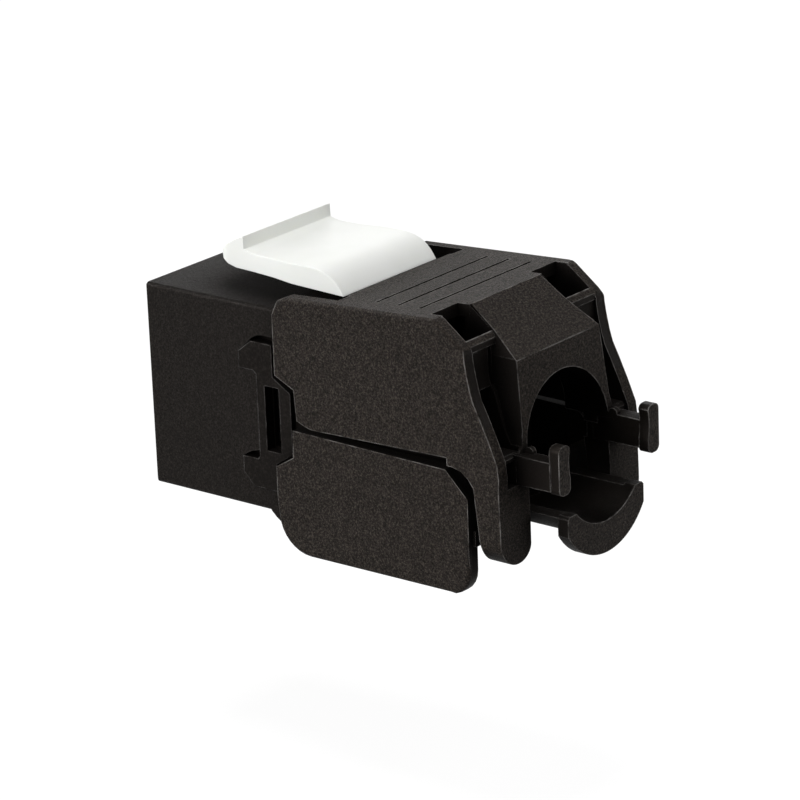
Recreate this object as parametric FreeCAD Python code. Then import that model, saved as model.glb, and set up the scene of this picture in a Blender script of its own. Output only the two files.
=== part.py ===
import FreeCAD, Part
import math
import os

os.makedirs("parts", exist_ok=True)
V = FreeCAD.Vector

# Keystone jack with two hinged wire-holding jaws.
# X is the width, Y runs from the plug face to the cable end, Z is up.
# Heights below are counted from the underside of the front housing.
# At the very end everything is lowered so that the origin lies in the middle of the plug face.

# ---- front housing -------------------------------------------------------------
HOUSING_W = 14.5
HOUSING_H = 16.4
HOUSING_L = 18.4
REAR_SHIFT = HOUSING_L - 18.4  # the jaws are drawn for an 18.4 mm housing and moved by this
HALF_W = HOUSING_W / 2
AXIS_Z = HOUSING_H / 2
WALL = 1.2
EDGE_R = 0.3

PLUG_W = 11.86                 # socket for an 8-way modular plug
PLUG_BOTTOM = 4.7
PLUG_TOP = 11.5
PLUG_DEPTH = 11.9
TAB_W = 6.3                    # stepped channel below it for the plug's tab
TAB_BOTTOM = 2.9
TAB_SLOT_W = 3.5
TAB_SLOT_BOTTOM = 1.5

CAVITY_W = 12.1                # rear cavity for the board and the terminal block
CAVITY_Y = 13.9
CAVITY_BOTTOM = 1.3
CAVITY_TOP = 15.1

LIP_W = 8.8                    # fixed hook under the housing, for the panel's lower edge
LIP_Y0, LIP_Y1 = 8.5, 10.1
LIP_DROP = 1.1

# ---- fits ----------------------------------------------------------------------
FIT = 0.1                      # push-in plastic parts
RUN = 0.3                      # between the housing and anything that swings past it
PIN_CLEAR = 0.05               # radial play of a hinge stud in its socket
METAL_FIT = 0.05               # around a stamped contact
ARM_FIT = 0.05                 # around the terminal block's snap arms

# ---- jaws ----------------------------------------------------------------------
JAW_WALL = 1.05
JAW_IN = HALF_W + RUN          # inner face of the jaw side plates
JAW_HALF = JAW_IN + JAW_WALL
UPPER_PIVOT = (19.7, 17.3)     # (y, z) of the upper jaw's hinge line
LOWER_PIVOT = (16.7, 0.6)
STUD_R = 0.5
STUD_OUT = 0.6                 # how far a stud reaches into the side plate
BARREL_R = 1.0
EAR_T = 0.95                   # hinge ears of the housing
JAW_BOTTOM = -2.3
FLOOR_T = 1.1
SLOPE = 0.055                  # rise of the top plate towards the rear
SWING_R = 9.6                  # the upper jaw's front corner is cut back to this radius
PARTING_UP = (7.93, 7.70)      # lower edge of the upper jaw, front and rear
PARTING_LOW = (7.62, 7.40)     # upper edge of the lower jaw, front and rear

GROOVES = (22.7, 24.75, 26.8)  # grip lines on the upper jaw
GROOVE_HALF = 6.7

CABLE_R = 5.0                  # half of the round cable passage in the upper jaw
CABLE_UP_Z = 8.5
CRADLE_R = 4.9                 # cable cradle of the lower jaw
CRADLE_Z = 7.3
CRADLE_T = 0.95
CRADLE_END = 38.37

# ---- keystone latch ------------------------------------------------------------
LATCH_PIVOT = (HOUSING_L - 1.8, HOUSING_H + 1.15)
LATCH_HALF_NOSE = 5.2
LATCH_HALF_PLATE = 5.6
LATCH_REAR = HOUSING_L + 0.2
LATCH_RIM = HOUSING_H + 1.47   # lower rim of the finger plate at the rear
SHELF_Y0, SHELF_Y1 = HOUSING_L - 4.3, HOUSING_L - 0.4
SHELF_TOP = HOUSING_H + 0.95

# ---- contacts, board, terminals --------------------------------------------------
WAYS = 8
PITCH = 1.016
SPRING_W = 0.45
SPRING_T = 0.25
BOARD_Y0 = CAVITY_Y            # the board is pressed against the shoulder of the cavity
BOARD_T = 1.0
BOARD_HALF = 5.9
BOARD_BOTTOM, BOARD_TOP = 1.5, 14.9
BLOCK_Y0, BLOCK_Y1 = HOUSING_L, HOUSING_L + 7.8
BLOCK_BOTTOM, BLOCK_TOP = 3.0, 12.8
BLOCK_HALF = HALF_W - 0.25
TERMINAL_X = (-5.1, -1.7, 1.7, 5.1)
TERMINAL_T = 0.4
TERMINAL_ROWS = (BLOCK_Y0 + 3.5, BLOCK_Y0 + 6.0)   # y of the wire slot, alternating
FORK_W = 1.9
WIRE_SLOT = 0.35
UP_TAIL_Z, DOWN_TAIL_Z = 10.6, 5.2
TAIL_H = 0.5
COMB_SLOT = 0.9                # slots in the wire combs, straddling each terminal
WIRE_R = 0.6


def box(x0, x1, y0, y1, z0, z1):
    return Part.makeBox(x1 - x0, y1 - y0, z1 - z0, V(x0, y0, z0))


def cyl_x(x0, x1, y, z, r):
    return Part.makeCylinder(r, x1 - x0, V(x0, y, z), V(1, 0, 0))


def cyl_y(y0, y1, x, z, r):
    return Part.makeCylinder(r, y1 - y0, V(x, y0, z), V(0, 1, 0))


def side_prism(points, x0, x1):
    """Polygon given as (y, z) pairs, extruded from x0 to x1."""
    ring = [V(x0, y, z) for y, z in points]
    face = Part.Face(Part.makePolygon(ring + ring[:1]))
    return face.extrude(V(x1 - x0, 0, 0))


def front_prism(points, y0, y1):
    """Polygon given as (x, z) pairs, extruded from y0 to y1."""
    ring = [V(x, y0, z) for x, z in points]
    face = Part.Face(Part.makePolygon(ring + ring[:1]))
    return face.extrude(V(0, y1 - y0, 0))


def plan_prism(points, z0, z1):
    """Polygon given as (x, y) pairs, extruded from z0 to z1."""
    ring = [V(x, y, z0) for x, y in points]
    face = Part.Face(Part.makePolygon(ring + ring[:1]))
    return face.extrude(V(0, 0, z1 - z0))


def arc_points(cy, cz, r, a0, a1, n):
    """Points on a circle between two angles in degrees."""
    steps = [math.radians(a0 + (a1 - a0) * i / n) for i in range(n + 1)]
    return [(cy + r * math.cos(a), cz + r * math.sin(a)) for a in steps]


def mirrored(shape):
    return shape.mirror(V(0, 0, 0), V(1, 0, 0))


def both_sides(shape):
    return [shape, mirrored(shape)]


def fuse(shapes):
    whole = shapes[0]
    if len(shapes) > 1:
        whole = whole.fuse(shapes[1:])
    return whole.removeSplitter()


def cut(shape, tools):
    return shape.cut(Part.makeCompound(tools)).removeSplitter()


def round_edges(shape, radius, wanted):
    edges = [e for e in shape.Edges if wanted(e)]
    return shape.makeFillet(radius, edges)


def runs_along(edge, axis):
    a, b = edge.Vertexes[0].Point, edge.Vertexes[-1].Point
    d = b - a
    other = [abs(d.x), abs(d.y), abs(d.z)]
    length = other.pop(axis)
    return length > 0.5 and max(other) < 1e-6


def top_plane(y):
    """Height of the upper jaw's sloping top at a distance y from the plug face."""
    return 18.48 + SLOPE * (y - 22.72)


REAR_CORNER = [(32.27, 16.0), (32.23, 16.5), (32.08, 16.86), (31.8, 17.13)]
TOP_CORNER = [(29.8, 18.66), (29.5, 18.81), (29.1, top_plane(29.1))]


# ---- pieces --------------------------------------------------------------------
def snap_arm_outline(grow):
    """I-shaped side arm of the terminal block: two hooked flanges and a web between them."""
    g = grow
    outline = side_prism([(9.3 - g, 12.5), (10.6 - g, 13.5 + g), (BLOCK_Y0 + 0.5, 13.5 + g),
                          (BLOCK_Y0 + 0.5, 1.7 - g), (10.3 - g, 1.7 - g), (9.3 - g, 2.7)], 0, 1)
    island = side_prism([(9.0 - g, 4.05 + g), (10.8 - g, 4.05 + g), (11.0 - g, 4.3 + g),
                         (11.0 - g, 10.9 - g), (10.7 - g, 11.15 - g), (9.0 - g, 11.15 - g)], 0, 1)
    return outline.cut(island)


def snap_arm_solid(x0, x1, grow):
    outline = snap_arm_outline(grow)
    section = [f for f in outline.Faces if abs(f.CenterOfMass.x) < 1e-6][0].copy()
    section.translate(V(x0, 0, 0))
    return section.extrude(V(x1 - x0, 0, 0))


def front_housing():
    body = box(-HALF_W, HALF_W, 0, HOUSING_L, 0, HOUSING_H)
    body = round_edges(body, EDGE_R, lambda e: runs_along(e, 1))
    body = body.makeChamfer(0.2, [e for e in body.Edges if e.BoundBox.YMax < 0.01])
    shelf = box(-HALF_W, HALF_W, SHELF_Y0, SHELF_Y1, HOUSING_H - 1, SHELF_TOP)
    step = box(-HALF_W, HALF_W, SHELF_Y0 - 1, SHELF_Y0 + 1.2, SHELF_TOP - 0.12, SHELF_TOP + 1)
    shelf = shelf.cut(step)
    lip = side_prism([(LIP_Y0 - 1.6, 0.1), (LIP_Y0, -LIP_DROP), (LIP_Y1, -LIP_DROP), (LIP_Y1, 0.1)],
                     -LIP_W / 2, LIP_W / 2)
    ly, lz = LOWER_PIVOT
    apron = side_prism([(11.6, 0.5), (11.9, 0.0), (12.35, -0.42), (12.8, -0.72), (13.3, -0.98),
                        (13.75, -1.15)] + arc_points(ly, lz, 3.4, 210, 190, 4) + [(13.35, 0.5)],
                       -HALF_W, HALF_W)
    apron.translate(V(0, REAR_SHIFT, 0))
    ly = ly + REAR_SHIFT
    py, pz = UPPER_PIVOT
    py = py + REAR_SHIFT
    ear_r = STUD_R + 0.05
    ear = side_prism([(HOUSING_L - 1.4, 15.3), (py + ear_r, 15.3)] +
                     arc_points(py, pz, ear_r, 0, 180, 10) +
                     [(py - ear_r, pz - 0.3), (HOUSING_L - 1.4, pz - 0.3)],
                     HALF_W - EAR_T, HALF_W)
    studs = [cyl_x(HALF_W - 0.2, JAW_IN + STUD_OUT, py, pz, STUD_R),
             cyl_x(HALF_W - 0.2, JAW_IN + STUD_OUT, ly, lz, STUD_R)]
    latch_y, latch_z = LATCH_PIVOT
    latch_ear = side_prism([(latch_y - 0.95, SHELF_TOP - 0.5), (latch_y + 0.95, SHELF_TOP - 0.5)] +
                           arc_points(latch_y, latch_z, 0.9, 0, 180, 8), 2.75, 4.0)
    body = fuse([body, shelf, lip, apron] + both_sides(ear) + both_sides(latch_ear) +
                both_sides(studs[0]) + both_sides(studs[1]))
    plug = box(-PLUG_W / 2, PLUG_W / 2, -1, PLUG_DEPTH, PLUG_BOTTOM, PLUG_TOP)
    tab = box(-TAB_W / 2, TAB_W / 2, -1, PLUG_DEPTH, TAB_BOTTOM, PLUG_BOTTOM + 1)
    tab_slot = box(-TAB_SLOT_W / 2, TAB_SLOT_W / 2, -1, 8.4, TAB_SLOT_BOTTOM, TAB_BOTTOM + 1)
    carrier_bay = box(-5.85, 5.85, 3.2, CAVITY_Y + 1, PLUG_TOP - 1, 14.9)
    carrier_foot = box(-5.85, 5.85, PLUG_DEPTH - 1, CAVITY_Y + 1, TAB_BOTTOM + 0.4, PLUG_TOP)
    cavity = box(-CAVITY_W / 2, CAVITY_W / 2, CAVITY_Y, HOUSING_L + 1, CAVITY_BOTTOM, CAVITY_TOP)
    latch_bay = box(-2.75, 2.75, latch_y - 1.15, latch_y + 1.3, HOUSING_H - 0.5, SHELF_TOP + 3)
    pin_holes = cyl_x(-4.1, 4.1, latch_y, latch_z, STUD_R + PIN_CLEAR)
    arm_depth = 0.85
    arm_slot = snap_arm_solid(HALF_W - arm_depth, HALF_W + 1, ARM_FIT)
    release = [(10.3, 13.4), (10.7, 13.76), (11.1, 13.98), (11.6, 14.1), (HOUSING_L + 1, 14.15),
               (HOUSING_L + 1, 13.4)]
    lower_release = [(9.3, 3.9), (9.3, 4.0), (9.7, 4.3), (10.2, 4.55), (10.8, 4.72), (11.1, 4.74),
                     (11.1, 3.9)]
    gaps = [side_prism(outline, HALF_W - arm_depth, HALF_W + 1) for outline in (release, lower_release)]
    catch_window = box(5.6, HALF_W, 11.9, 13.1, 5.0, 10.0)
    body = cut(body, [plug, tab, tab_slot, carrier_bay, carrier_foot, cavity, latch_bay, pin_holes] +
               both_sides(arm_slot) + both_sides(gaps[0]) + both_sides(gaps[1]) +
               both_sides(catch_window))
    return body


def latch_body():
    """Flexing catch: nose ramp, square-backed catch ridge, then a sloping finger plate."""
    rim = LATCH_RIM
    rear = LATCH_REAR
    nose = [(7.7, rim + 0.38), (6.7, rim + 0.63), (6.05, rim + 0.93), (5.72, rim + 1.25),
            (5.85, rim + 1.52), (6.5, rim + 1.93), (7.1, rim + 2.31), (7.7, rim + 2.63),
            (8.3, rim + 2.91), (8.52, rim + 2.99)]
    plate = [(8.56, rim + 1.98), (9.2, rim + 1.82), (10.3, rim + 1.75), (rear - 6.4, rim + 1.76),
             (rear - 4.5, rim + 1.8), (rear - 2.9, rim + 1.79), (rear - 1.75, rim + 1.58),
             (rear - 0.95, rim + 1.17), (rear - 0.4, rim + 0.62), (rear, rim)]
    solid = side_prism(smooth_line(nose, 13) + smooth_line(plate, 25), -6, 6)
    plan = [(0, 5.6), (3.9, 5.6), (4.5, 5.8), (4.95, 6.25), (LATCH_HALF_NOSE, 6.9),
            (LATCH_HALF_NOSE, 9.4), (5.3, 11.4), (LATCH_HALF_PLATE, 13.4),
            (LATCH_HALF_PLATE, rear + 0.1)]
    plan = plan + [(-x, y) for x, y in reversed(plan[1:])]
    solid = solid.common(plan_prism(plan, rim - 0.9, rim + 4))
    hollow = side_prism([(9.0, rim - 0.9), (9.0, rim + 0.8), (rear - 2.1, rim + 0.95),
                         (rear - 1.0, rim + 0.5), (rear - 1.0, rim - 0.9)], -4.3, 4.3)
    solid = solid.cut(hollow)
    latch_y, latch_z = LATCH_PIVOT
    root = side_prism([(latch_y - 0.75, latch_z), (latch_y - 0.75, rim + 1.2),
                       (latch_y + 0.75, rim + 1.05), (latch_y + 0.75, latch_z)], -2.45, 2.45)
    drum = cyl_x(-2.45, 2.45, latch_y, latch_z, 0.75)
    pins = cyl_x(-3.9, 3.9, latch_y, latch_z, STUD_R)
    return fuse([solid, root, drum, pins])


def upper_side_plate():
    """Side plate outline of the upper jaw, tapering back into the leg."""
    py, pz = UPPER_PIVOT
    low = arc_points(py, pz, SWING_R, 247.2, 257.4, 3)
    return [(14.0, 16.5), (14.0, 11.72), (15.8, 10.87)] + low + \
           [(30.8, PARTING_UP[1]), (31.6, 7.5), (32.25, 7.0), (32.7, 6.4), (35.05, 6.4),
            (35.1, 7.5), (34.97, 8.6), (34.25, 10.3), (33.55, 11.8), (32.95, 13.0), (32.68, 13.9),
            (32.42, 15.1)] + \
        REAR_CORNER + TOP_CORNER + [(15.4, top_plane(15.4)), (14.6, 17.75)]


def smooth_line(points, steps):
    """Points spaced evenly along a smooth curve through the given (y, z) pairs."""
    spline = Part.BSplineCurve()
    spline.interpolate([V(0, y, z) for y, z in points])
    return [(p.y, p.z) for p in spline.toShape().discretize(steps)]


def smooth_prism(curve, corners, y0, y1):
    """Outline in the XZ plane with one side a smooth curve, extruded from y0 to y1."""
    spline = Part.BSplineCurve()
    spline.interpolate([V(x, y0, z) for x, z in curve])
    rest = [V(x, y0, z) for x, z in [curve[-1]] + corners + [curve[0]]]
    wire = Part.Wire([spline.toShape()] + Part.makePolygon(rest).Edges)
    return Part.Face(wire).extrude(V(0, y1 - y0, 0))


def jaw_leg():
    """Leg of the upper jaw with a rounded end; it closes behind the lower jaw."""
    curve = [(4.98, 1.7), (5.15, 1.05), (5.75, 0.55), (6.7, 0.4), (7.6, 0.7), (8.3, 1.45),
             (JAW_HALF, 2.7)]
    leg = smooth_prism(curve, [(JAW_HALF, 6.45), (4.98, 6.45)], 32.0, 36.0)
    outline = side_prism([(32.7, 6.45), (33.2, 1.9), (33.3, 0.1), (35.12, 0.1), (35.12, 3.0),
                          (35.05, 6.45)], 4, 10)
    return leg.common(outline)


def upper_jaw():
    py, pz = UPPER_PIVOT
    plate = side_prism(upper_side_plate(), JAW_IN, JAW_HALF)
    plate = round_edges(plate, 0.25, lambda e: e.BoundBox.XMin > JAW_HALF - 0.01 and
                        e.BoundBox.ZMin > 16.5)
    roof = side_prism([(py, top_plane(py)), (29.6, top_plane(29.6)), (29.6, top_plane(29.6) - 1.0),
                       (29.2, top_plane(29.2) - 1.0), (py + 0.9, top_plane(py) - 1.0), (py, pz)],
                      -JAW_IN - 0.2, JAW_IN + 0.2)
    barrel_half = HALF_W - EAR_T - 0.15
    barrel = cyl_x(-barrel_half, barrel_half, py, pz, BARREL_R)
    bar = side_prism([(31.95, 16.2), (32.15, 16.4)] + REAR_CORNER[2:] + TOP_CORNER + [(29.2, 16.2)],
                     4.38, JAW_IN + 0.2)
    rear_wall = side_prism([(31.0, 16.6), (32.02, 16.6), (32.05, 14.4), (32.27, 13.35), (32.54, 13.0),
                            (33.44, 10.1), (34.04, 9.04), (34.04, PARTING_UP[1]),
                            (32.8, PARTING_UP[1]), (32.6, 9.0), (31.0, 13.6)],
                           -JAW_IN - 0.2, JAW_IN + 0.2)
    tower_side = front_prism([(-5.05, 15.6), (5.05, 15.6), (5.35, 10.2), (5.55, 9.2), (6.1, 8.75), (6.1, 8.3),
                              (-6.1, 8.3), (-6.1, 8.75), (-5.55, 9.2), (-5.35, 10.2)], 30.9, 36)
    tower_top = front_prism([(-4.1, 19.5), (4.1, 19.5), (4.4, 17.3), (5.05, 15.55), (5.05, 15.2),
                             (-5.05, 15.2), (-5.05, 15.55), (-4.4, 17.3)], 28, 36)
    tower_cut = side_prism([(29.6, top_plane(29.6)), (34.32, 15.51), (34.9, 10.0),
                            (35.1, 8.3), (31.0, 8.3), (31.0, 13.5), (29.4, 17.5)], -7, 7)
    tower = tower_side.fuse(tower_top).common(tower_cut)
    ledge = side_prism([(32.4, 8.25), (34.7, 8.25), (34.75, 8.55), (34.5, 8.8), (32.4, 8.8)],
                       5.0, JAW_IN + 0.2)
    rib = box(6.0, 6.35, 33.4, 34.95, 5.8, 8.4)
    knob = cyl_x(4.7, 5.4, 35.45, 8.75, 0.42)
    leg = jaw_leg()
    leg_root = box(4.98, JAW_IN + 0.2, 33.0, 33.6, 5.5, 8.4)
    hook = lug_with_head()
    comb = box(-6.85, 6.85, py + 1.25, 26.4, BLOCK_TOP + 0.4, top_plane(py) - 0.6)
    shell = fuse([roof, barrel, rear_wall, tower] + both_sides(plate) + both_sides(bar) +
                 both_sides(rib) + both_sides(knob) +
                 both_sides(ledge) + both_sides(leg) + both_sides(leg_root) + both_sides(hook) +
                 [comb])
    ear_room = fuse([cyl_x(barrel_half, JAW_IN, py, pz, STUD_R + 0.2),
                     box(barrel_half, JAW_IN, py - 2, py + 0.85, pz - 4, pz)])
    socket = cyl_x(JAW_IN - 0.5, JAW_IN + STUD_OUT + 0.05, py, pz, STUD_R + PIN_CLEAR)
    bays = [pocket_hole()]
    passage = cyl_y(29, 40, 0, CABLE_UP_Z, CABLE_R)
    tools = both_sides(ear_room) + both_sides(socket) + both_sides(bays[0]) + [passage]
    tools += [box(-4.0, 4.0, 28, 36, 0, 8.2)]
    tools += comb_cuts(BLOCK_TOP - 1, 17.3, BLOCK_TOP + 1.4)
    window = side_prism([(30, 13.4), (33, 13.4), (34.9, 8.8), (30, 8.8)], 5.6, JAW_IN)
    slit = box(5.15, 5.5, 30.5, 33.0, 13.4, 16.3)
    bevel = taper([(14.0, 7.91), (30.3, 8.34)], JAW_IN - 0.15, JAW_HALF + 0.2)
    tools += both_sides(window) + both_sides(slit) + both_sides(bevel)
    tools += [groove(y) for y in GROOVES]
    jaw = cut(shell, tools)
    jaw.translate(V(0, REAR_SHIFT, 0))
    return jaw


def taper(line, x0, x1):
    """Wedge below a sloping face that also rises towards the outside, 0.6 mm per mm."""
    rise = 0.6 * (x1 - x0)
    wires = []
    for y, z in line:
        low = z + 0.6 * (x1 - JAW_HALF) - rise
        corners = [V(x1, y, low + rise), V(x0, y, low), V(x1, y, low)]
        wires.append(Part.makePolygon(corners + corners[:1]))
    return Part.makeLoft(wires, True, True)


def groove(y):
    """Grip line across the top of the upper jaw."""
    return box(-GROOVE_HALF, GROOVE_HALF, y - 0.12, y + 0.12, top_plane(y) - 0.18, top_plane(y) + 1)


def pocket_hole():
    """Square opening beside the tower, with a low bar behind it."""
    return plan_prism([(4.4, 28.5), (JAW_IN, 28.5), (JAW_IN, 31.65), (4.4, 31.65)], 13.0, 20)


def lug_with_head():
    """Flat arm beside the cable with an upright head, for a cable tie."""
    arm = box(5.0, 6.25, 33.0, 38.0, 6.45, 8.7)
    head = box(4.85, 6.2, 37.9, 38.8, 6.15, 9.95)
    head = round_edges(head, 0.5, lambda e: runs_along(e, 1))
    return fuse([arm, head])


def comb_cuts(z0, z1, wire_z):
    """Slots that straddle the terminals, and grooves across for the wires."""
    tools = [box(x - COMB_SLOT / 2, x + COMB_SLOT / 2, 20, 27, z0, z1) for x in TERMINAL_X]
    for y in [row - REAR_SHIFT for row in TERMINAL_ROWS]:
        tools.append(side_prism(arc_points(y, wire_z, WIRE_R, 22.5, 337.5, 7), -7.2, 7.2))
    return tools


def lower_side_plate():
    ly, lz = LOWER_PIVOT
    nose = arc_points(ly, lz, 3.0, 182, 270, 8)
    return [(15.45, 5.4), (13.75, 4.4), (13.73, 2.1)] + nose + \
           [(30.2, JAW_BOTTOM)] + arc_points(30.1, -0.4, 2.0, 285, 360, 5) + \
           [(32.15, 5.4), (30.14, PARTING_LOW[1]), (15.55, PARTING_LOW[0])]


def lower_jaw():
    ly, lz = LOWER_PIVOT
    plate = side_prism(lower_side_plate(), JAW_IN, JAW_HALF)
    plate = round_edges(plate, 0.3, lambda e: e.BoundBox.XMin > JAW_HALF - 0.01 and
                        e.BoundBox.ZMax < 1.0)
    floor = side_prism([(ly + 0.7, JAW_BOTTOM), (23.8, JAW_BOTTOM), (24.8, -1.7), (31.0, 1.5),
                        (31.85, 1.5), (31.85, 5.2), (31.0, 5.2), (31.0, 2.6),
                        (24.4, JAW_BOTTOM + 1.9), (23.4, JAW_BOTTOM + FLOOR_T),
                        (ly + 0.7, JAW_BOTTOM + FLOOR_T)], -JAW_IN - 0.2, JAW_IN + 0.2)
    web = box(-8.1, 8.1, 31.7, 32.4, 1.6, 2.8)
    trough = cyl_y(31.5, 37.6, 0, CRADLE_Z, CRADLE_R + CRADLE_T)
    trough = trough.common(box(-9, 9, 31.5, 37.6, 0, 3.9))
    cradle = cyl_y(37.4, CRADLE_END, 0, 5.5, 5.6).common(
        front_prism([(-4.7, -1), (4.7, -1), (4.7, 3.85), (4.5, 4.05), (-4.5, 4.05), (-4.7, 3.85)],
                    37, 39))
    comb = box(-6.85, 6.85, 20.95, 26.4, JAW_BOTTOM + 0.5, BLOCK_BOTTOM - 0.4)
    shell = fuse([floor, web, trough, cradle, comb] + both_sides(plate))
    socket = cyl_x(JAW_IN - 0.5, JAW_IN + STUD_OUT + 0.05, ly, lz, STUD_R + PIN_CLEAR)
    passage = cyl_y(29, 40, 0, CRADLE_Z, CRADLE_R)
    tools = both_sides(socket) + [passage]
    tools += comb_cuts(JAW_BOTTOM + FLOOR_T + 0.05, BLOCK_BOTTOM + 1, BLOCK_BOTTOM - 1.4)
    jaw = cut(shell, tools)
    jaw.translate(V(0, REAR_SHIFT, 0))
    return jaw


def idc_terminal_blade(x, row, up):
    """Flat stamped terminal: wire fork, body and a tail through the board."""
    s = 1 if up else -1
    seat = BLOCK_TOP if up else BLOCK_BOTTOM
    tail = UP_TAIL_Z if up else DOWN_TAIL_Z
    tip = seat + s * 2.9
    root = tail - s * TAIL_H / 2
    h = FORK_W / 2
    w = WIRE_SLOT / 2
    pts = [(row - h, root), (row - h, tip - s * 0.5), (row - h + 0.35, tip), (row - w - 0.25, tip),
           (row - w, tip - s * 0.4), (row - w, seat + s * 0.5), (row + w, seat + s * 0.5),
           (row + w, tip - s * 0.4), (row + w + 0.25, tip), (row + h - 0.35, tip),
           (row + h, tip - s * 0.5), (row + h, root)]
    blade = side_prism(pts, x - TERMINAL_T / 2, x + TERMINAL_T / 2)
    pin = box(x - TERMINAL_T / 2, x + TERMINAL_T / 2, BOARD_Y0, row, tail - TAIL_H / 2,
              tail + TAIL_H / 2)
    return fuse([blade, pin])


def idc_terminals():
    made = []
    for k in range(WAYS):
        up = k < 4
        x = TERMINAL_X[k % 4]
        row = TERMINAL_ROWS[k % 2]
        made.append((x, row, up, idc_terminal_blade(x, row, up)))
    return made


def terminal_room(x, row, up):
    """Slot in the block around one terminal, open on the wire side and towards the board."""
    g = METAL_FIT
    s = 1 if up else -1
    seat = BLOCK_TOP if up else BLOCK_BOTTOM
    tail = UP_TAIL_Z if up else DOWN_TAIL_Z
    z = sorted((seat + s, tail - s * (TAIL_H / 2 + g)))
    well = box(x - TERMINAL_T / 2 - g, x + TERMINAL_T / 2 + g, row - FORK_W / 2 - g,
               row + FORK_W / 2 + g, z[0], z[1])
    run = box(x - TERMINAL_T / 2 - g, x + TERMINAL_T / 2 + g, BOARD_Y0 - 0.5, row,
              tail - TAIL_H / 2 - g, tail + TAIL_H / 2 + g)
    return [well, run]


def idc_block():
    core = box(-BLOCK_HALF, BLOCK_HALF, BLOCK_Y0, BLOCK_Y1, BLOCK_BOTTOM, BLOCK_TOP)
    core = round_edges(core, 0.8, lambda e: runs_along(e, 0) and e.BoundBox.YMin > BLOCK_Y1 - 0.01)
    plug = box(-CAVITY_W / 2 + FIT, CAVITY_W / 2 - FIT, BOARD_Y0 + BOARD_T, BLOCK_Y0 + 0.5,
               CAVITY_BOTTOM + FIT, CAVITY_TOP - FIT)
    arm = snap_arm_solid(HALF_W - 0.75, HALF_W + 0.05, 0)
    window = box(0, 9, 11.8, 13.2, 4.9, 10.1)
    step = side_prism([(12.65, 14.2), (12.65, 10.93), (14.34, 9.91), (14.34, 5.03), (12.65, 3.93),
                       (12.65, 1.0), (BLOCK_Y0, 1.0), (BLOCK_Y0, 14.2)], HALF_W - 0.4, HALF_W + 1)
    arm = arm.cut(window).cut(step)
    spreader = side_prism([(BLOCK_Y1 - 0.5, 5.0), (BLOCK_Y1 + 2.4, 7.3), (BLOCK_Y1 + 2.4, 8.3),
                           (BLOCK_Y1 - 0.5, 10.8)], -0.6, 0.6)
    body = fuse([core, plug, spreader] + both_sides(arm))
    rooms = []
    for x, row, up, _ in idc_terminals():
        rooms += terminal_room(x, row, up)
    return cut(body, rooms)


def circuit_board(contact_rooms):
    board = box(-BOARD_HALF, BOARD_HALF, BOARD_Y0, BOARD_Y0 + BOARD_T, BOARD_BOTTOM, BOARD_TOP)
    rooms = []
    for x, row, up, _ in idc_terminals():
        rooms.append(terminal_room(x, row, up)[1])
    return cut(board, rooms + contact_rooms)


def spring_line(k):
    """Centre line of contact k: through the board, along the roof, round the bend, then down."""
    tail_z = 13.9 if k % 2 == 0 else 12.7
    return [(BOARD_Y0 + BOARD_T, tail_z), (12.3, tail_z), (11.6, 13.3), (5.4, 13.3),
            (4.75, 13.05), (4.45, 12.5), (4.75, 12.0), (5.4, 11.65), (11.3, 8.4)]


def ribbon(points, thick, x0, x1):
    """Strip of even thickness around a bent line given as (y, z) pairs, with mitred bends."""
    upper, lower = [], []
    for i, (y, z) in enumerate(points):
        before = points[max(i - 1, 0)]
        after = points[min(i + 1, len(points) - 1)]
        a = math.atan2(z - before[1], y - before[0]) if i else None
        b = math.atan2(after[1] - z, after[0] - y) if i < len(points) - 1 else a
        a = b if a is None else a
        half_turn = math.remainder(b - a, 2 * math.pi) / 2
        reach = thick / 2 / math.cos(half_turn)
        normal = a + half_turn + math.pi / 2
        upper.append((y + reach * math.cos(normal), z + reach * math.sin(normal)))
        lower.append((y - reach * math.cos(normal), z - reach * math.sin(normal)))
    return side_prism(upper + lower[::-1], x0, x1)


def spring_contact(k, grow):
    x = PITCH * (k - (WAYS - 1) / 2)
    width = SPRING_W + 2 * grow
    line = spring_line(k)
    if grow:
        line = [(line[0][0] + 1, line[0][1])] + line[1:]
    return ribbon(line, SPRING_T + 2 * grow, x - width / 2, x + width / 2)


def contact_carrier(contact_rooms):
    roof = box(-5.75, 5.75, 3.3, CAVITY_Y, 11.95, 14.8)
    wall = box(-5.75, 5.75, PLUG_DEPTH + FIT, CAVITY_Y, TAB_BOTTOM + 0.5, 12.5)
    body = fuse([roof, wall])
    slots = []
    for k in range(WAYS):
        x = PITCH * (k - (WAYS - 1) / 2)
        slots.append(box(x - 0.3, x + 0.3, 3.0, 11.7, 11.5, 13.0))
        slots.append(box(x - 0.3, x + 0.3, 11.5, 12.6, 6.6, 11.6))
    return cut(body, slots + contact_rooms)


def build_all():
    rooms = [spring_contact(k, METAL_FIT) for k in range(WAYS)]
    pieces = {
        "front_housing": front_housing(),
        "keystone_latch": latch_body(),
        "contact_carrier": contact_carrier(rooms),
        "circuit_board": circuit_board(rooms),
        "idc_block": idc_block(),
        "upper_jaw": upper_jaw(),
        "lower_jaw": lower_jaw(),
    }
    for k in range(WAYS):
        pieces["spring_contact_%d" % (k + 1)] = spring_contact(k, 0)
    for k, terminal in enumerate(idc_terminals()):
        pieces["idc_terminal_%d" % (k + 1)] = terminal[3]
    return pieces


for name, shape in build_all().items():
    shape.translate(V(0, 0, -AXIS_Z))
    shape.exportStep("parts/" + name + ".step")
    print(name, shape.ShapeType, len(shape.Solids), round(shape.Volume, 1), shape.isValid())
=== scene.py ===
import math

import bpy
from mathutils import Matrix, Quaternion, Vector


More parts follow.
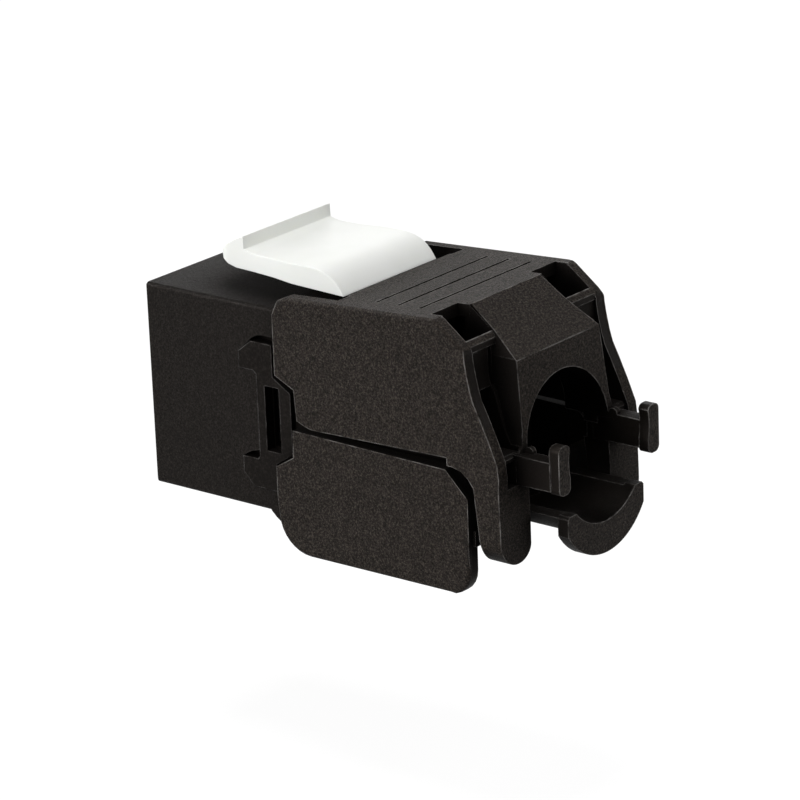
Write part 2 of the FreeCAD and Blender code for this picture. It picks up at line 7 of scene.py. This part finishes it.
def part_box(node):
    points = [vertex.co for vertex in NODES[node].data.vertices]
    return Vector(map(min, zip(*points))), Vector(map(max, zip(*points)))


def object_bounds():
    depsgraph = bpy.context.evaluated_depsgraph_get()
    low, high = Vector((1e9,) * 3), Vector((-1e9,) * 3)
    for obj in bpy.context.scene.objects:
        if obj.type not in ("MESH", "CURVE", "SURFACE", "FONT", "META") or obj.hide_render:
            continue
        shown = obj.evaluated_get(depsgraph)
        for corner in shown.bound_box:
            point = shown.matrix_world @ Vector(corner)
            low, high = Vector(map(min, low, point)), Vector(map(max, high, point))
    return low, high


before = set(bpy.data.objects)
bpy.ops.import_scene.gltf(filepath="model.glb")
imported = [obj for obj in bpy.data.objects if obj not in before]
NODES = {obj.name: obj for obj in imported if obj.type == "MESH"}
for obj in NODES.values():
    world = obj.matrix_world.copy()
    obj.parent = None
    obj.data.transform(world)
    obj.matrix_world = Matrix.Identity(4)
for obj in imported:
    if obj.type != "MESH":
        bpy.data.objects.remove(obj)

# Lengths are in metres, angles in degrees and lamp powers in watts.
CAD_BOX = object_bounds()
FLOOR_DROP = 0.018    # the open lower jaw hangs 17.6 mm below the closed part
FLOOR_Z = CAD_BOX[0].z - FLOOR_DROP


# ---- node helpers --------------------------------------------------------------
NOISE_LOW, NOISE_HIGH = 0.3, 0.7    # a noise texture keeps mostly between these


class Net:
    """Short ways of adding nodes to a new material."""

    def __init__(self, name):
        self.material = bpy.data.materials.new(name)
        self.material.use_nodes = True
        self.tree = self.material.node_tree
        self.shader = self.tree.nodes["Principled BSDF"]
        places = self.add("ShaderNodeTexCoord")
        self.coords = places.outputs["Object"]
        self.facing = places.outputs["Normal"]

    def add(self, kind, **inputs):
        """Adds a node; an input such as From_Min sets its socket "From Min"."""
        node = self.tree.nodes.new(kind)
        for key, value in inputs.items():
            node.inputs[key.replace("_", " ")].default_value = value
        return node

    def link(self, source, target):
        self.tree.links.new(source, target)

    def feed(self, socket, value):
        """Links a value to one of the shader's sockets."""
        self.link(value, self.shader.inputs[socket])

    def fix(self, socket, value):
        """Sets one of the shader's sockets to a value that is the same all over."""
        self.shader.inputs[socket].default_value = value

    def noise(self, size, detail=2.0, harshness=0.5):
        """Noise whose lumps are about `size` across."""
        node = self.add("ShaderNodeTexNoise", Scale=1.0 / size, Detail=detail, Roughness=harshness)
        self.link(self.coords, node.inputs["Vector"])
        return node.outputs["Fac"]

    def ramp(self, value, stops):
        """Colour that follows a value through stops of (value, colour)."""
        node = self.add("ShaderNodeValToRGB")
        elements = node.color_ramp.elements
        while len(elements) < len(stops):
            elements.new(0.5)
        for element, (place, colour) in zip(elements, stops):
            element.position = place
            element.color = (*colour, 1)
        self.link(value, node.inputs["Fac"])
        return node.outputs["Color"]

    def shades(self, noise, low, high):
        """Colour that goes from `low` to `high` with the noise."""
        return self.ramp(noise, [(NOISE_LOW, low), (NOISE_HIGH, high)])

    def spread(self, value, low, high, start=NOISE_LOW, end=NOISE_HIGH):
        """Number that goes from `low` to `high` while the value goes from `start` to `end`."""
        node = self.add("ShaderNodeMapRange", From_Min=start, From_Max=end, To_Min=low, To_Max=high)
        self.link(value, node.inputs["Value"])
        return node.outputs["Result"]

    def mix(self, factor, first, second, mode="MIX"):
        node = self.add("ShaderNodeMix")
        node.data_type = "RGBA"
        node.blend_type = mode
        share, first_colour, second_colour = (node.inputs[place] for place in (0, 6, 7))
        if isinstance(factor, float):
            share.default_value = factor
        else:
            self.link(factor, share)
        self.link(first, first_colour)
        self.link(second, second_colour)
        return node.outputs[2]

    def maths(self, operation, first, second=None):
        """A sum on numbers or sockets."""
        node = self.add("ShaderNodeMath")
        node.operation = operation
        for socket, value in zip(node.inputs, (first, second)):
            if isinstance(value, float):
                socket.default_value = value
            elif value is not None:
                self.link(value, socket)
        return node.outputs[0]

    def bump(self, relief, strength, height, below=None):
        """Normal for a relief `height` deep, laid over the bump `below` if there is one."""
        node = self.add("ShaderNodeBump", Strength=strength, Distance=height)
        self.link(relief, node.inputs["Height"])
        if below is not None:
            self.link(below, node.inputs["Normal"])
        return node.outputs["Normal"]


def scaled(colour, factor):
    return tuple(value * factor for value in colour)


# ---- black mouldings -----------------------------------------------------------
PIT_LEVEL, MIDDLE_LEVEL, TIP_LEVEL = 0.41, 0.52, 0.64    # noise at the grain's pits, middle and tips
MIDDLE_TONE = 0.40            # the grain's middle, as a share of the pits' and tips' colours together
TIP_GLINT = 1.5               # how much lighter the highest tips are than the tips' colour
PLAIN_TONE_AND_SHADE = 0.35             # the plain faces, as a share of the grain's middle: partly their own smoother tone, partly painted shade that darkens the inner faces
PLAIN_RELIEF = 0.25           # share of the relief that the plain faces have
PLAIN_ROUGHNESS_CHANGE = 0.08
PEBBLE_SIZE = 2.3             # lumps under the grain, in grains
PEBBLE_HEIGHT = 1.5           # their height, in heights of the grain
PEBBLE_STRENGTH = 0.4
CLOUD_SIZE = 0.007            # slow changes of tone over a face
TEXTURE_FADE = 0.0002         # the grain fades out over this
RECESS_REACH = 0.006          # walls nearer than this hide the sky
PAINTED_SHADE_SKY = (0.64, 0.96)     # shares of sky at which the painted shade of a recess is full black and at which it ends
RECESS_DUST = 0.45            # roughness added where the painted shade is full black
EDGE_HIGHLIGHT_RADIUS = 0.00014       # width of the painted highlight along an edge
EDGE_HIGHLIGHT_SKY = (0.68, 0.88)     # shares of sky at which an edge has no painted highlight and at which it has the full one
EDGE_HIGHLIGHT_PATCH = 0.0011         # size of the patches into which the painted edge highlight is broken
HIGHLIGHT_PATCH_START, HIGHLIGHT_PATCH_FULL = 0.35, 0.6    # noise at which a patch of painted edge highlight begins and at which it is full
WARM_GREY = (1.0, 0.96, 0.92)
MOULDING_SHEEN = 0.12
MOULDING_TINT = (1.0, 0.86, 0.78, 1)


def openness(net):
    """Share of the sky that a point sees past the walls around it."""
    node = net.add("ShaderNodeAmbientOcclusion", Distance=RECESS_REACH)
    node.samples = 6
    return node.outputs["AO"]


def outer_edges(net):
    """1 along edges, where a rounded normal leaves the face's own; 0 on the faces."""
    rounded = net.add("ShaderNodeBevel", Radius=EDGE_HIGHLIGHT_RADIUS)
    rounded.samples = 4
    surface = net.add("ShaderNodeNewGeometry")
    likeness = net.add("ShaderNodeVectorMath")
    likeness.operation = "DOT_PRODUCT"
    net.link(rounded.outputs["Normal"], likeness.inputs[0])
    net.link(surface.outputs["Normal"], likeness.inputs[1])
    return net.spread(likeness.outputs["Value"], 1.0, 0.0, start=0.93, end=0.99)


def textured_zone(net, half_width, top, rear):
    """1 on the outer sides, the tops and the rear faces, which are spark-eroded; 0 elsewhere.

    The sides are textured out at `half_width`, the tops above `top` and the rear faces behind `rear`.
    """
    side_start = half_width - TEXTURE_FADE / 2
    place = net.add("ShaderNodeSeparateXYZ")
    net.link(net.coords, place.inputs[0])
    facing = net.add("ShaderNodeSeparateXYZ")
    net.link(net.facing, facing.inputs[0])
    width = net.maths("ABSOLUTE", place.outputs["X"])
    side = net.spread(width, 0.0, 1.0, side_start - TEXTURE_FADE, side_start)
    up = net.spread(facing.outputs["Z"], 0.0, 1.0, start=0.45, end=0.6)
    high = net.spread(place.outputs["Z"], 0.0, 1.0, top - TEXTURE_FADE, top)
    back = net.spread(facing.outputs["Y"], 0.0, 1.0, start=0.7, end=0.85)
    behind = net.spread(place.outputs["Y"], 0.0, 1.0, rear - TEXTURE_FADE, rear)
    tops = net.maths("MULTIPLY", high, up)
    rears = net.maths("MULTIPLY", behind, back)
    return net.maths("MAXIMUM", side, net.maths("MAXIMUM", tops, rears))


def moulded(name, dark, light, grain, depth, rough, zone, smooth=0.3, edge_highlight=0.0):
    """Black moulded plastic: pebbled grain on the outer faces, painted highlights along outer edges,
    painted shade in recesses.

    `dark` and `light` colour the grain's pits and tips, `grain` is its size and `depth` its height.
    `rough` is the roughness of the tips and of the pits, and `smooth` that of the plain faces.
    `zone` says where the grain is, and `edge_highlight` how light the painted highlight along an outer edge
    is.
    """
    net = Net(name)
    fine = net.noise(grain, detail=4.0, harshness=0.8)
    pebble = net.noise(grain * PEBBLE_SIZE)
    cloud = net.noise(CLOUD_SIZE)
    mask = textured_zone(net, **zone)
    sky = openness(net)
    # painted shade: 1 in the open, falling to 0 in recesses, where the colour is painted black
    painted_shade_factor = net.spread(sky, 0.0, 1.0, *PAINTED_SHADE_SKY)

    middle = tuple((pit + tip) * MIDDLE_TONE for pit, tip in zip(dark, light))
    glint = scaled(light, TIP_GLINT)
    grained = net.ramp(fine, [(PIT_LEVEL, dark), (MIDDLE_LEVEL, middle), (TIP_LEVEL, glint)])
    # partly painted shade: the plain faces, which take in the inner and recessed faces, are coloured much
    # darker than the grain
    plain = net.shades(cloud, dark, scaled(middle, PLAIN_TONE_AND_SHADE))
    colour = net.mix(mask, plain, grained)
    # painted highlight: outer edges that see open sky get a lighter colour, in patches, in place of the
    # light that rounded edges catch
    if edge_highlight > 0:
        highlight_exposure = net.spread(sky, 0.0, 1.0, *EDGE_HIGHLIGHT_SKY)
        painted_edge_highlight = net.maths("MULTIPLY", outer_edges(net), highlight_exposure)
        highlight_patches = net.noise(EDGE_HIGHLIGHT_PATCH, detail=3.0, harshness=0.6)
        highlight_colour = net.ramp(highlight_patches, [(HIGHLIGHT_PATCH_START, middle), (HIGHLIGHT_PATCH_FULL, scaled(WARM_GREY, edge_highlight))])
        colour = net.mix(painted_edge_highlight, colour, highlight_colour)
    # painted shade: the colour is multiplied down towards black in recesses
    net.feed("Base Color", net.mix(1.0, colour, painted_shade_factor, "MULTIPLY"))

    tips, pits = rough
    bare = net.maths("SUBTRACT", 1.0, mask)
    grained_part = net.maths("MULTIPLY", net.spread(fine, pits, tips), mask)
    plain_roughness = net.spread(cloud, smooth, smooth + PLAIN_ROUGHNESS_CHANGE)
    plain_part = net.maths("MULTIPLY", plain_roughness, bare)
    dust = net.spread(painted_shade_factor, RECESS_DUST, 0.0, start=0.0, end=1.0)
    net.feed("Roughness", net.maths("ADD", net.maths("ADD", grained_part, plain_part), dust))

    deep = net.spread(mask, PLAIN_RELIEF, 1.0, start=0.0, end=1.0)
    lumps = net.bump(net.maths("MULTIPLY", pebble, deep), PEBBLE_STRENGTH, depth * PEBBLE_HEIGHT)
    net.feed("Normal", net.bump(net.maths("MULTIPLY", fine, deep), 1.0, depth, below=lumps))
    net.fix("Specular IOR Level", MOULDING_SHEEN)
    net.fix("Specular Tint", MOULDING_TINT)
    return net.material


# ---- other materials -----------------------------------------------------------
def white_plastic():
    """Smooth white nylon with a little light passing through it."""
    net = Net("white_catch_plastic")
    fine = net.noise(0.00035, detail=3.0, harshness=0.6)
    cloud = net.noise(0.004)
    net.feed("Base Color", net.shades(cloud, low=(0.89, 0.905, 0.865), high=(0.93, 0.94, 0.905)))
    net.feed("Roughness", net.spread(fine, 0.34, 0.46))
    net.feed("Normal", net.bump(fine, strength=0.25, height=0.00001))
    net.fix("Subsurface Weight", 0.12)
    net.fix("Subsurface Radius", (0.0012, 0.0012, 0.001))
    net.fix("Subsurface Scale", 1.0)
    return net.material


def metal(name, low, high, rough):
    """Plated stamping: polished, with fine drawing marks along its length."""
    net = Net(name)
    marks = net.add("ShaderNodeTexWave", Scale=9000.0, Distortion=3.0, Detail=2.0)
    net.link(net.coords, marks.inputs["Vector"])
    cloud = net.noise(0.0008, detail=3.0, harshness=0.6)
    net.feed("Base Color", net.shades(cloud, low, high))
    net.feed("Roughness", net.spread(marks.outputs["Fac"], *rough, start=0.0, end=1.0))
    net.feed("Normal", net.bump(marks.outputs["Fac"], strength=0.15, height=0.000004))
    net.fix("Metallic", 1.0)
    return net.material


def board_laminate():
    """Green solder resist over a woven laminate."""
    net = Net("board_laminate")
    weave = net.add("ShaderNodeTexBrick", Scale=2200.0, Mortar_Size=0.03)
    net.link(net.coords, weave.inputs["Vector"])
    cloud = net.noise(0.003)
    net.feed("Base Color", net.shades(cloud, low=(0.012, 0.10, 0.035), high=(0.02, 0.14, 0.05)))
    net.feed("Normal", net.bump(weave.outputs["Fac"], strength=0.3, height=0.00001))
    net.fix("Roughness", 0.32)
    return net.material


BLACK = (0.0006, 0.0005, 0.0004)
CARBON = (0.0015, 0.0013, 0.0011)
NOWHERE = CAD_BOX[1].y + 0.01    # past the part's rear, so that no rear face is textured
JAW_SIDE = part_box("lower_jaw")[1].x
CARRIER_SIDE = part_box("contact_carrier")[1].x
BODY_SIDE = 0.00725              # the housing's flank, from which the lugs stand out

JAW = moulded(
    "jaw_plastic", dark=BLACK, light=(0.0470, 0.0385, 0.0320), grain=0.00015, depth=0.00012,
    rough=(0.40, 0.56), zone=dict(half_width=JAW_SIDE, top=0.0070, rear=0.0340), smooth=0.36, edge_highlight=0.32)
HOUSING = moulded(
    "housing_plastic", dark=BLACK, light=(0.0135, 0.0116, 0.0102), grain=0.00015, depth=0.00004,
    rough=(0.42, 0.52), zone=dict(half_width=BODY_SIDE, top=0.0079, rear=NOWHERE), edge_highlight=0.03)
INSERT = moulded(
    "insert_plastic", dark=CARBON, light=(0.0060, 0.0052, 0.0045), grain=0.0002, depth=0.00002,
    rough=(0.42, 0.50), zone=dict(half_width=CARRIER_SIDE, top=0.0060, rear=NOWHERE))
BLOCK = moulded(
    "block_plastic", dark=scaled(CARBON, 1.2), light=(0.0100, 0.0086, 0.0075), grain=0.0002, depth=0.000015,
    rough=(0.30, 0.38), zone=dict(half_width=BODY_SIDE, top=0.0079, rear=NOWHERE), edge_highlight=0.16)
WHITE = white_plastic()
GOLD = metal("contact_gold", low=(0.78, 0.53, 0.20), high=(0.90, 0.68, 0.30), rough=(0.24, 0.40))
TIN = metal("terminal_bronze", low=(0.60, 0.56, 0.50), high=(0.74, 0.70, 0.63), rough=(0.22, 0.36))
BOARD = board_laminate()

FINISH = {
    "front_housing": HOUSING,
    "idc_block": BLOCK,
    "contact_carrier": INSERT,
    "circuit_board": BOARD,
    "upper_jaw": JAW,
    "lower_jaw": JAW,
    "keystone_latch": WHITE,
}


def finish_for(name):
    if name.startswith("spring_contact"):
        return GOLD
    if name.startswith("idc_terminal"):
        return TIN
    return FINISH[name]


# ---- CAD nodes: real materials and moulded edges -------------------------------
SAME_POINT = 1e-7        # corners closer than this are one
FLAT_ANGLE = 0.5         # faces within this angle are one flat face
BEVEL_ANGLE = 28         # sharper edges than this are rounded
SMOOTH_ANGLE = 24        # sharper edges than this stay crisp in the shading
EDGE_WIDTH = {
    "front_housing": 0.00004,
    "idc_block": 0.00007,
    "upper_jaw": 0.00012,
    "lower_jaw": 0.00012,
    "keystone_latch": 0.00026,
    "contact_carrier": 0.00006,
}


def smooth_by_angle(name, degrees):
    """Geometry nodes that shade faces smooth and keep edges sharper than `degrees` sharp."""
    tree = bpy.data.node_groups.new(name, "GeometryNodeTree")
    for direction in ("INPUT", "OUTPUT"):
        tree.interface.new_socket("Geometry", in_out=direction, socket_type="NodeSocketGeometry")
    start = tree.nodes.new("NodeGroupInput")
    end = tree.nodes.new("NodeGroupOutput")
    faces = tree.nodes.new("GeometryNodeSetShadeSmooth")
    faces.domain = "FACE"
    faces.inputs["Shade Smooth"].default_value = True
    edges = tree.nodes.new("GeometryNodeSetShadeSmooth")
    edges.domain = "EDGE"
    edges.inputs["Shade Smooth"].default_value = False
    angle = tree.nodes.new("GeometryNodeInputMeshEdgeAngle")
    sharp = tree.nodes.new("FunctionNodeCompare")
    sharp.data_type = "FLOAT"
    sharp.operation = "GREATER_THAN"
    sharp.inputs[1].default_value = math.radians(degrees)
    tree.links.new(start.outputs[0], faces.inputs["Geometry"])
    tree.links.new(faces.outputs[0], edges.inputs["Geometry"])
    tree.links.new(angle.outputs["Unsigned Angle"], sharp.inputs[0])
    tree.links.new(sharp.outputs[0], edges.inputs["Selection"])
    tree.links.new(edges.outputs[0], end.inputs[0])
    return tree


SMOOTH = smooth_by_angle("smooth_by_angle", SMOOTH_ANGLE)


def round_edges(obj, width, segments):
    """Rounds a moulding's sharp edges without touching its flat faces."""
    weld = obj.modifiers.new("weld", "WELD")
    weld.merge_threshold = SAME_POINT
    flat = obj.modifiers.new("flatten", "DECIMATE")
    flat.decimate_type = "DISSOLVE"
    flat.angle_limit = math.radians(FLAT_ANGLE)
    bevel = obj.modifiers.new("edges", "BEVEL")
    bevel.width = width
    bevel.segments = segments
    bevel.limit_method = "ANGLE"
    bevel.angle_limit = math.radians(BEVEL_ANGLE)
    bevel.use_clamp_overlap = True
    bevel.harden_normals = False
    soft = obj.modifiers.new("smooth", "NODES")
    soft.node_group = SMOOTH
    even = obj.modifiers.new("even", "WEIGHTED_NORMAL")
    even.keep_sharp = True
    even.weight = 100


for name, obj in NODES.items():
    obj.data.materials.clear()
    obj.data.materials.append(finish_for(name))
    if name in EDGE_WIDTH:
        round_edges(obj, EDGE_WIDTH[name], segments=3 if name == "keystone_latch" else 2)

# ---- stage ---------------------------------------------------------------------
MIRRORED = 0.35           # how bright the white surroundings look in shiny surfaces
FLOOR_HALF_SIDE = 3.0
FLOOR_PAINT = 0.25        # grey that throws the lamps' light back at the part
FLOOR_SHADOWED = 0.16     # grey that the camera sees on top of the glow, so that the shadow shows
FLOOR_GLOW = 0.9

LAMP_AIM = Vector((0, 0.018, 0))
LAMP_DISTANCE = 0.6
LAMP_SIDE = 0.25
LAMPS = {    # azimuth from +X towards +Y, elevation and power
    "side_low_softbox": (-10, 18, 2.35),
    "front_low_softbox": (-150, 18, 0.40),
    "front_side_softbox": (-40, 18, 0.75),
    "rear_low_softbox": (105, 18, 0.40),
    "far_low_softbox": (140, 18, 0.38),
    "rear_high_softbox": (90, 48, 0.45),
    "plug_side_softbox": (-85, 12, 1.13),
    "top_softbox": (0, 86, 1.88),
}

CAMERA_AIM = Vector((-0.00094, 0.01827, -0.00044))
CAMERA_DISTANCE = 0.327
CAMERA_AZIMUTH, CAMERA_ELEVATION, CAMERA_ROLL = 39.5, 19.1, -2.3
CAMERA_LENS = 192.4       # millimetres, on a sensor 36 mm wide


def background_rays(tree):
    """1 for camera rays, MIRRORED for rays reflected by or let through a surface, 0 for the rest."""
    rays = tree.nodes.new("ShaderNodeLightPath")
    level = rays.outputs["Is Camera Ray"]
    for kind in ("Is Glossy Ray", "Is Transmission Ray"):
        part = tree.nodes.new("ShaderNodeMath")
        part.operation = "MULTIPLY"
        tree.links.new(rays.outputs[kind], part.inputs[0])
        part.inputs[1].default_value = MIRRORED
        both = tree.nodes.new("ShaderNodeMath")
        both.operation = "MAXIMUM"
        tree.links.new(level, both.inputs[0])
        tree.links.new(part.outputs[0], both.inputs[1])
        level = both.outputs[0]
    return level


def floor_material():
    """White with a faint shadow to the camera, plain grey to the lamps, clear from below."""
    material = bpy.data.materials.new("floor")
    material.use_nodes = True
    tree = material.node_tree
    tree.nodes.clear()

    def grey(value):
        node = tree.nodes.new("ShaderNodeBsdfDiffuse")
        node.inputs["Color"].default_value = (value, value, value, 1)
        return node.outputs[0]

    def choose(factor, first, second):
        node = tree.nodes.new("ShaderNodeMixShader")
        for source, socket in zip((factor, first, second), node.inputs):
            tree.links.new(source, socket)
        return node.outputs[0]

    glow = tree.nodes.new("ShaderNodeEmission")
    glow.inputs["Strength"].default_value = FLOOR_GLOW
    seen = tree.nodes.new("ShaderNodeAddShader")
    tree.links.new(grey(FLOOR_SHADOWED), seen.inputs[0])
    tree.links.new(glow.outputs[0], seen.inputs[1])
    above = choose(background_rays(tree), grey(FLOOR_PAINT), seen.outputs[0])
    side = tree.nodes.new("ShaderNodeNewGeometry")
    clear = tree.nodes.new("ShaderNodeBsdfTransparent")
    out = tree.nodes.new("ShaderNodeOutputMaterial")
    tree.links.new(choose(side.outputs["Backfacing"], above, clear.outputs[0]), out.inputs["Surface"])
    return material


def floor_piece():
    mesh = bpy.data.meshes.new("floor")
    corners = [(x * FLOOR_HALF_SIDE, y * FLOOR_HALF_SIDE, FLOOR_Z)
               for x, y in ((-1, -1), (1, -1), (1, 1), (-1, 1))]
    mesh.from_pydata(corners, [], [(0, 1, 2, 3)])
    mesh.materials.append(floor_material())
    obj = bpy.data.objects.new("floor", mesh)
    bpy.context.collection.objects.link(obj)


def aim(obj, target, distance, azimuth, elevation, roll=0.0):
    """Places a lamp or camera around the target, looking at it."""
    turn, lift = math.radians(azimuth), math.radians(elevation)
    away = Vector((math.cos(turn) * math.cos(lift), math.sin(turn) * math.cos(lift), math.sin(lift)))
    level = away.to_track_quat("Z", "Y")
    obj.location = target + distance * away
    obj.rotation_euler = (level @ Quaternion((0, 0, 1), math.radians(roll))).to_euler()


def softbox(name, azimuth, elevation, power):
    light = bpy.data.lights.new(name, "AREA")
    light.shape = "RECTANGLE"
    light.size = LAMP_SIDE
    light.size_y = LAMP_SIDE
    light.energy = power
    obj = bpy.data.objects.new(name, light)
    bpy.context.collection.objects.link(obj)
    aim(obj, LAMP_AIM, LAMP_DISTANCE, azimuth, elevation)
    obj.visible_camera = False


def world_light():
    """White surroundings that are seen and mirrored but light nothing."""
    world = bpy.data.worlds.new("studio")
    bpy.context.scene.world = world
    world.use_nodes = True
    back = world.node_tree.nodes["Background"]
    back.inputs["Color"].default_value = (1, 1, 1, 1)
    world.node_tree.links.new(background_rays(world.node_tree), back.inputs["Strength"])


def main_camera():
    """The main view: a long lens, above and behind the right-hand side."""
    data = bpy.data.cameras.new("camera")
    data.sensor_width = 36
    data.lens = CAMERA_LENS
    data.clip_start = 0.01
    data.clip_end = 10
    camera = bpy.data.objects.new("camera", data)
    bpy.context.collection.objects.link(camera)
    aim(camera, CAMERA_AIM, CAMERA_DISTANCE, CAMERA_AZIMUTH, CAMERA_ELEVATION, CAMERA_ROLL)
    bpy.context.scene.camera = camera


floor_piece()
for name, (azimuth, elevation, power) in LAMPS.items():
    softbox(name, azimuth, elevation, power)
world_light()
main_camera()
bpy.context.scene.view_settings.view_transform = "Standard"
